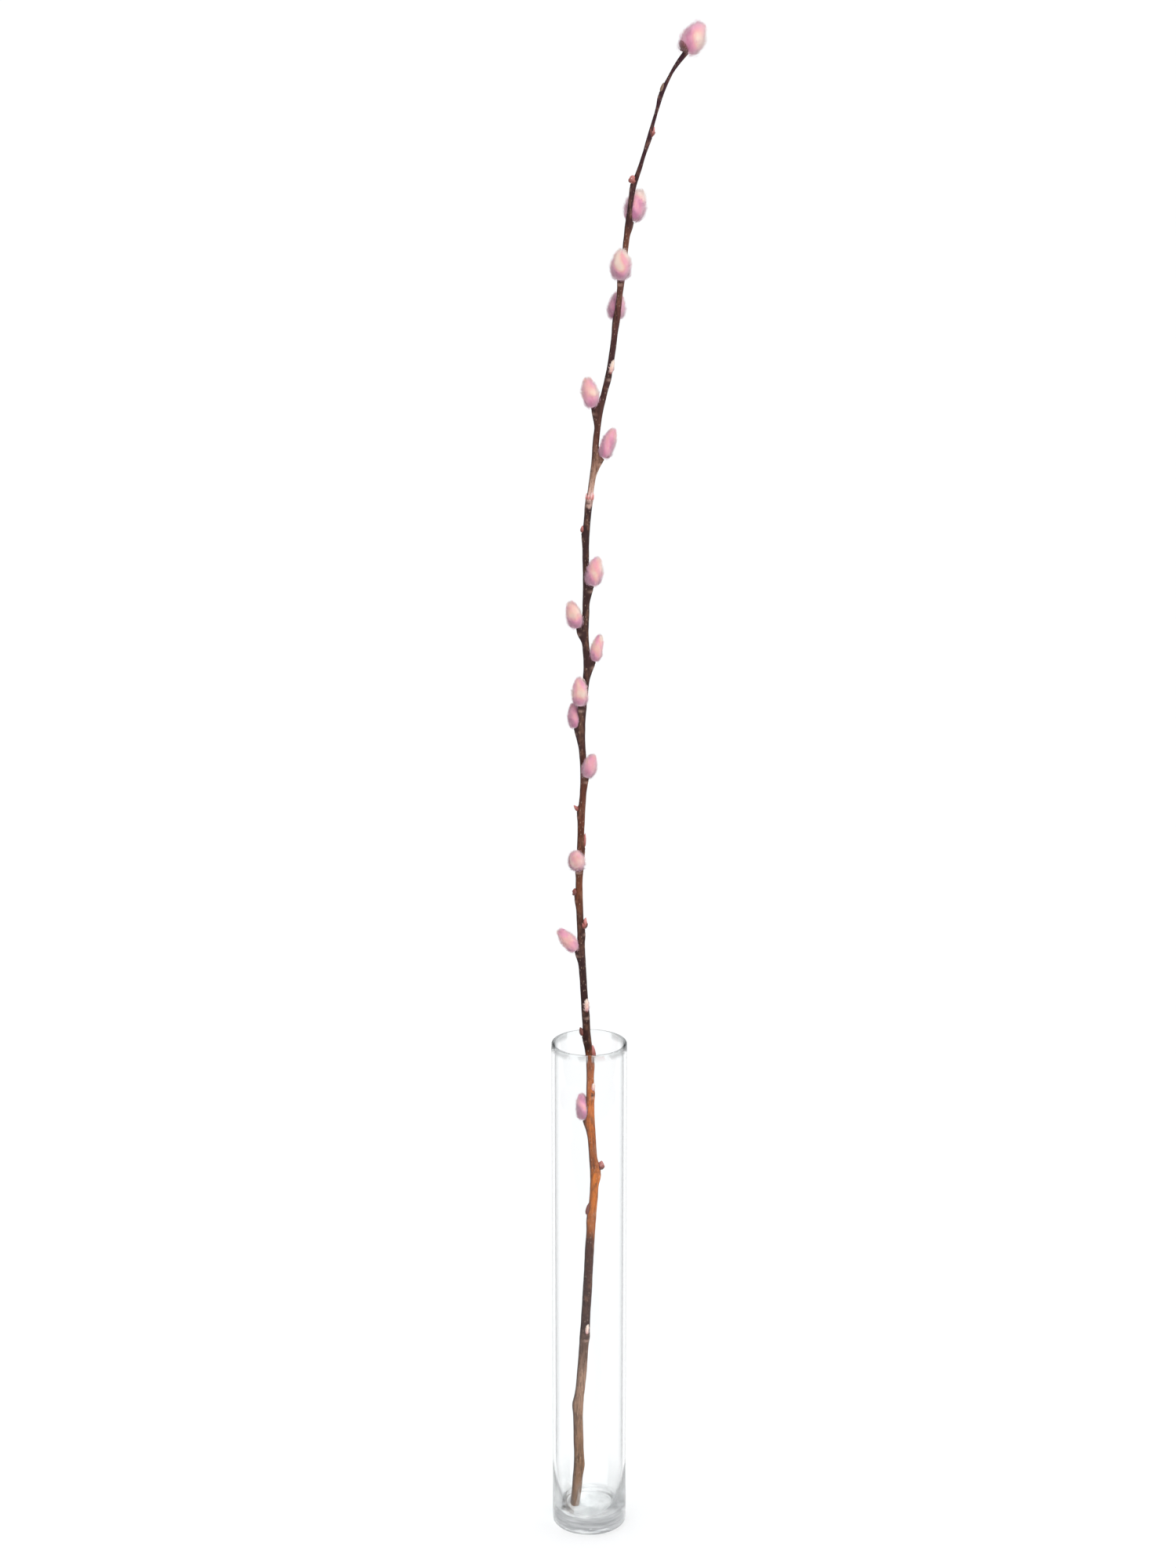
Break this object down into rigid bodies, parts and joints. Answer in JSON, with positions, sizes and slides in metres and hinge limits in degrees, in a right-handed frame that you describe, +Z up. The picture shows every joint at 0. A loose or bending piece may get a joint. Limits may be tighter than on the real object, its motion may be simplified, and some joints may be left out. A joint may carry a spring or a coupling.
{
  "type": "willow stem in glass vase",
  "caption": "Tall cut willow stem with furry pink catkins and small buds, leaning in a slim clear glass cylinder vase that stands on its flat foot.",
  "frame": {"origin": "centre of the vase's flat foot, on the surface that it stands on", "axes": "+Z up along the vase's axis; -Y towards the front, where the stem's cut end rests; +X to the right, the side that the tip leans to"},
  "size_m": [0.0973, 0.0802, 1.0056],
  "materials": {
    "glass": "clear, polished",
    "bark": "satin young bark, dark brown to orange tan, with pale lenticels",
    "catkin_fur": "soft silky fur, cream to pink and mauve",
    "bud_scale": "smooth, slightly glossy red-brown bud scale",
    "bud_silk": "short silky white-pink hair"
  },
  "bodies": {
    "root": {"vase": "glass", "stem": "bark", "catkin_01": "catkin_fur", "catkin_02": "catkin_fur", "catkin_03": "catkin_fur", "catkin_04": "catkin_fur", "catkin_05": "catkin_fur", "catkin_06": "catkin_fur", "catkin_07": "catkin_fur", "catkin_08": "catkin_fur", "catkin_09": "catkin_fur", "catkin_10": "catkin_fur", "catkin_11": "catkin_fur", "catkin_12": "catkin_fur", "catkin_13": "catkin_fur", "catkin_14": "catkin_fur", "catkin_15": "catkin_fur", "bud_01": "bud_silk", "bud_02": "bud_scale", "bud_03": "bud_scale", "bud_04": "bud_silk", "bud_05": "bud_scale", "bud_06": "bud_scale", "bud_07": "bud_silk", "bud_08": "bud_scale", "bud_09": "bud_scale", "bud_10": "bud_scale", "bud_11": "bud_scale", "bud_12": "bud_scale", "bud_13": "bud_silk", "bud_14": "bud_silk", "bud_15": "bud_scale", "bud_16": "bud_scale", "bud_17": "bud_scale", "top_scale": "bud_scale"}
  },
  "joints": []
}
